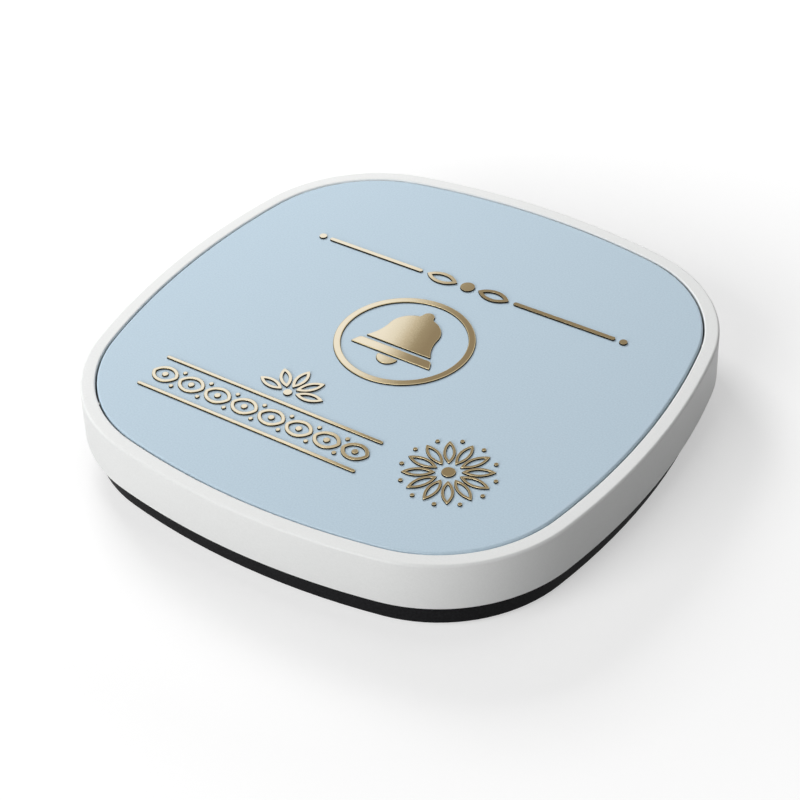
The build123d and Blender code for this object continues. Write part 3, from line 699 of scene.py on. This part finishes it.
def open_leaf(bm, length, width, line, place):
    """A leaf drawn with one even line."""
    old = set(bm.verts)
    pointed_oval(bm, length, width, 0.0)
    pointed_oval(bm, length, width, line)
    fresh = [v for v in bm.verts if v not in old]
    bmesh.ops.transform(bm, matrix=place, verts=fresh)
    bmesh.ops.triangle_fill(bm, edges=edges_of(fresh), use_beauty=True, use_dissolve=True)


def dot(bm, radius, place):
    """A round dot."""
    bmesh.ops.create_circle(bm, cap_ends=True, radius=radius * MM, segments=DOT_SIDES, matrix=place)


def bar(bm, length, width, place):
    """A straight bar with round ends, its length along X."""
    old = set(bm.verts)
    straight = (length - width) / 2
    low_right = bm.verts.new((straight * MM, -width / 2 * MM, 0))
    high_right = swing(bm, low_right, (straight, 0), pi, END_STEPS)
    high_left = bm.verts.new((-straight * MM, width / 2 * MM, 0))
    low_left = swing(bm, high_left, (-straight, 0), pi, END_STEPS)
    bm.edges.new((high_right, high_left))
    bm.edges.new((low_left, low_right))
    fresh = [v for v in bm.verts if v not in old]
    bmesh.ops.transform(bm, matrix=place, verts=fresh)
    bmesh.ops.edgeloop_fill(bm, edges=edges_of(fresh))


trial = bmesh.new()
open_leaf(trial, 6.0, 3.0, 0.6, placed(0, 0))
print("one open leaf has", len(trial.faces), "faces")
trial.free()

# %% [markdown]
# The divider is a long fine bar, parted in the middle by two open leaves and a dot. One half is drawn twice,
# the second time turned by half a circle, so that both halves match.

# %% Divider above the bell
DIVIDER_X, DIVIDER_Y = 0.9, 20.0  # its middle
DIVIDER_LEAF = (6.4, 3.2, 0.75)  # length, width and line
DIVIDER_BAR = (20.4, 0.9)  # length and width
LEAF_AWAY, BAR_AWAY, DOT_AWAY = 5.4, 19.8, 31.6  # from the middle
MIDDLE_DOT, END_DOT = 1.35, 0.75  # radii

bm = bmesh.new()
dot(bm, MIDDLE_DOT, placed(DIVIDER_X, DIVIDER_Y))
for turn in (0, 180):
    open_leaf(bm, *DIVIDER_LEAF, placed(DIVIDER_X, DIVIDER_Y, turn, LEAF_AWAY))
    bar(bm, *DIVIDER_BAR, placed(DIVIDER_X, DIVIDER_Y, turn, BAR_AWAY))
    dot(bm, END_DOT, placed(DIVIDER_X, DIVIDER_Y, turn, DOT_AWAY))
raise_sign(bm, "divider")

# %% [markdown]
# The border is a row of eight broad open leaves with a dot in each, between two rails. Small dots fill the
# corners that the leaves leave free, and a fan of five leaves stands over it.

# %% Border and fan at the lower left
BORDER_X, BORDER_Y = -10.7, -28.2  # its middle
LEAVES, PITCH = 8, 5.6
BORDER_LEAF = (5.3, 4.2, 0.7)  # length, width and line
LEAF_DOT, CORNER_DOT = 0.6, 0.42  # radii
DOT_ROWS = (-2.0, 2.0)  # of the corner dots, below and above the middle
RAIL_ROWS = (-4.1, 4.1)
RAIL_WIDTH = 0.7

bm = bmesh.new()
for number in range(LEAVES):
    x = BORDER_X + (number - (LEAVES - 1) / 2) * PITCH
    open_leaf(bm, *BORDER_LEAF, placed(x, BORDER_Y))
    dot(bm, LEAF_DOT, placed(x, BORDER_Y))
for number in range(1, LEAVES):
    for row in DOT_ROWS:
        dot(bm, CORNER_DOT, placed(BORDER_X + (number - LEAVES / 2) * PITCH, BORDER_Y + row))
for row in RAIL_ROWS:
    bar(bm, LEAVES * PITCH, RAIL_WIDTH, placed(BORDER_X, BORDER_Y + row))
raise_sign(bm, "border")

FAN_X, FAN_Y = -9.4, -21.4  # its root
FAN_TURNS = (10, 50, 90, 130, 170)  # degrees
FAN_LEAF = (5.2, 2.2, 0.6)
FAN_AWAY = 4.0  # from the root to the middle of a leaf
ROOT_DOT = 0.8

bm = bmesh.new()
for turn in FAN_TURNS:
    open_leaf(bm, *FAN_LEAF, placed(FAN_X, FAN_Y, turn, FAN_AWAY))
dot(bm, ROOT_DOT, placed(FAN_X, FAN_Y))
raise_sign(bm, "fan")

# %% [markdown]
# The rosette has twelve open leaves round a dot, with a ring of small dots between their tips. One leaf is
# drawn twelve times, each time turned a little further.

# %% Rosette at the lower right
ROSETTE_X, ROSETTE_Y = 24.6, -24.6  # its middle
PETALS = 12
PETAL = (5.6, 2.1, 0.5)  # length, width and line
PETAL_AWAY, TIP_DOT_AWAY = 4.9, 7.9  # from the middle
HEART_DOT, TIP_DOT = 1.2, 0.4  # radii

bm = bmesh.new()
dot(bm, HEART_DOT, placed(ROSETTE_X, ROSETTE_Y))
for number in range(PETALS):
    turn = 90 + 360 / PETALS * number
    open_leaf(bm, *PETAL, placed(ROSETTE_X, ROSETTE_Y, turn, PETAL_AWAY))
    dot(bm, TIP_DOT, placed(ROSETTE_X, ROSETTE_Y, turn + 180 / PETALS, TIP_DOT_AWAY))
raise_sign(bm, "rosette")

# %% [markdown]
# ## Studio
# A white background could come from bright light all round, but that would wash out the pad's shading. So
# the world has two strengths: a faint one that lights the pad, and full white for every ray that shows the
# background, straight from the camera, in a reflection or through glass.

# %% World
FILL = 0.03  # strength of the light that the world adds to the pad


def seen_as_white(tree):
    """One for a ray that shows the background, directly, in a reflection or through glass."""
    path = add_node(tree, "ShaderNodeLightPath").outputs
    inputs = {0: path["Is Camera Ray"], 1: path["Is Glossy Ray"]}
    seen = add_node(tree, "ShaderNodeMath", inputs, operation="MAXIMUM").outputs[0]
    inputs = {0: seen, 1: path["Is Transmission Ray"]}
    return add_node(tree, "ShaderNodeMath", inputs, operation="MAXIMUM").outputs[0]


world = bpy.data.worlds.new("studio")
bpy.context.scene.world = world
world.use_nodes = True
tree = world.node_tree
tree.nodes.clear()
fill = add_node(tree, "ShaderNodeBackground", {"Color": linear("ffffff"), "Strength": FILL})
white = add_node(tree, "ShaderNodeBackground", {"Color": linear("ffffff"), "Strength": 1.0})
inputs = {0: seen_as_white(tree), 1: fill.outputs[0], 2: white.outputs[0]}
mix = add_node(tree, "ShaderNodeMixShader", inputs)
add_node(tree, "ShaderNodeOutputWorld", {"Surface": mix.outputs[0]})
print("the world adds a fill of", FILL)

# %% [markdown]
# Three square lamps shape the pad. The front lamp lights the walls that face the reader. The left lamp is
# smaller, so it models the corners and throws the shadow to the right. The back lamp is high and lights the
# plate. The left and the back lamp are left out of reflections, because the white world is already there.


# %% Lamps
def softbox(name, place, size, power):
    """A square lamp at place, in millimetres, that faces the pad."""
    lamp = bpy.data.lights.new(name, "AREA")
    lamp.shape = "SQUARE"
    lamp.size = size * MM
    lamp.energy = power
    holder = bpy.data.objects.new(name, lamp)
    bpy.context.scene.collection.objects.link(holder)
    here = Vector(place) * MM
    way = Vector((0, 0, 10)) * MM - here
    holder.matrix_world = Matrix.Translation(here) @ way.to_track_quat("-Z", "Y").to_matrix().to_4x4()
    return holder


softbox("front_lamp", (-90, -500, 285), size=400, power=2.38)
softbox("left_lamp", (-342, 214, 324), size=200, power=1.93).visible_glossy = False
softbox("back_lamp", (0, 350, 616), size=500, power=0.85).visible_glossy = False

# %% [markdown]
# The floor is a plain sheet of pale paper that takes the pad's soft shadow. A glow that only the camera and
# reflections see lifts it to white without lighting the pad. The glow rises further out, where no lamp
# reaches, so that the paper runs into the white background without a horizon.

# %% Floor
FLOOR_GLOW = 0.5  # near the pad, where the lamps do the rest
NEAR, FAR = 80.0, 350.0  # distances over which the glow rises to full white
FLOOR_HALF = 3.0  # metres
material, tree, surface = new_material("studio_paper")
place = add_node(tree, "ShaderNodeTexCoord").outputs["Object"]
away = add_node(tree, "ShaderNodeVectorMath", {0: place}, operation="LENGTH").outputs["Value"]
inputs = {"Value": away, "From Min": NEAR * MM, "From Max": FAR * MM, "To Min": FLOOR_GLOW, "To Max": 1.0}
rising = add_node(tree, "ShaderNodeMapRange", inputs).outputs["Result"]
inputs = {0: seen_as_white(tree), 1: rising}
glow = add_node(tree, "ShaderNodeMath", inputs, operation="MULTIPLY")
paper = add_node(tree, "ShaderNodeBsdfDiffuse", {"Color": linear("cdcdcd"), "Roughness": 0.5})
inputs = {"Color": linear("ffffff"), "Strength": glow.outputs[0]}
lift = add_node(tree, "ShaderNodeEmission", inputs)
both = add_node(tree, "ShaderNodeAddShader", {0: paper.outputs[0], 1: lift.outputs[0]})
tree.links.new(both.outputs[0], surface)
bm = bmesh.new()
bmesh.ops.create_grid(bm, x_segments=1, y_segments=1, size=FLOOR_HALF)
mesh = bpy.data.meshes.new("studio_floor")
bm.to_mesh(mesh)
bm.free()
mesh.materials.append(material)
floor = bpy.data.objects.new("studio_floor", mesh)
bpy.context.scene.collection.objects.link(floor)
print("floor is", round(floor.dimensions.x, 2), "m wide")

# %% [markdown]
# ## Camera
# A long lens from a third of a metre away looks down at the pad over its front right corner. It is tilted a
# little to one side, as a camera held in the hand is.

# %% Camera
CAMERA_PLACE = (153.0, -226.7, 225.6)
CAMERA_AIM = (7.84, -13.08, 15.0)
CAMERA_TILT = radians(-1.93)

camera_data = bpy.data.cameras.new("camera")
camera_data.sensor_width = 36.0
camera_data.lens = 89.3
camera = bpy.data.objects.new("camera", camera_data)
bpy.context.scene.collection.objects.link(camera)
here = Vector(CAMERA_PLACE) * MM
there = Vector(CAMERA_AIM) * MM
aim = (there - here).to_track_quat("-Z", "Y").to_matrix().to_4x4()
camera.matrix_world = Matrix.Translation(here) @ aim @ Matrix.Rotation(CAMERA_TILT, 4, "Z")
bpy.context.scene.camera = camera
bpy.context.scene.view_settings.view_transform = "Standard"
print("camera is", round((there - here).length / MM), "mm from the pad")
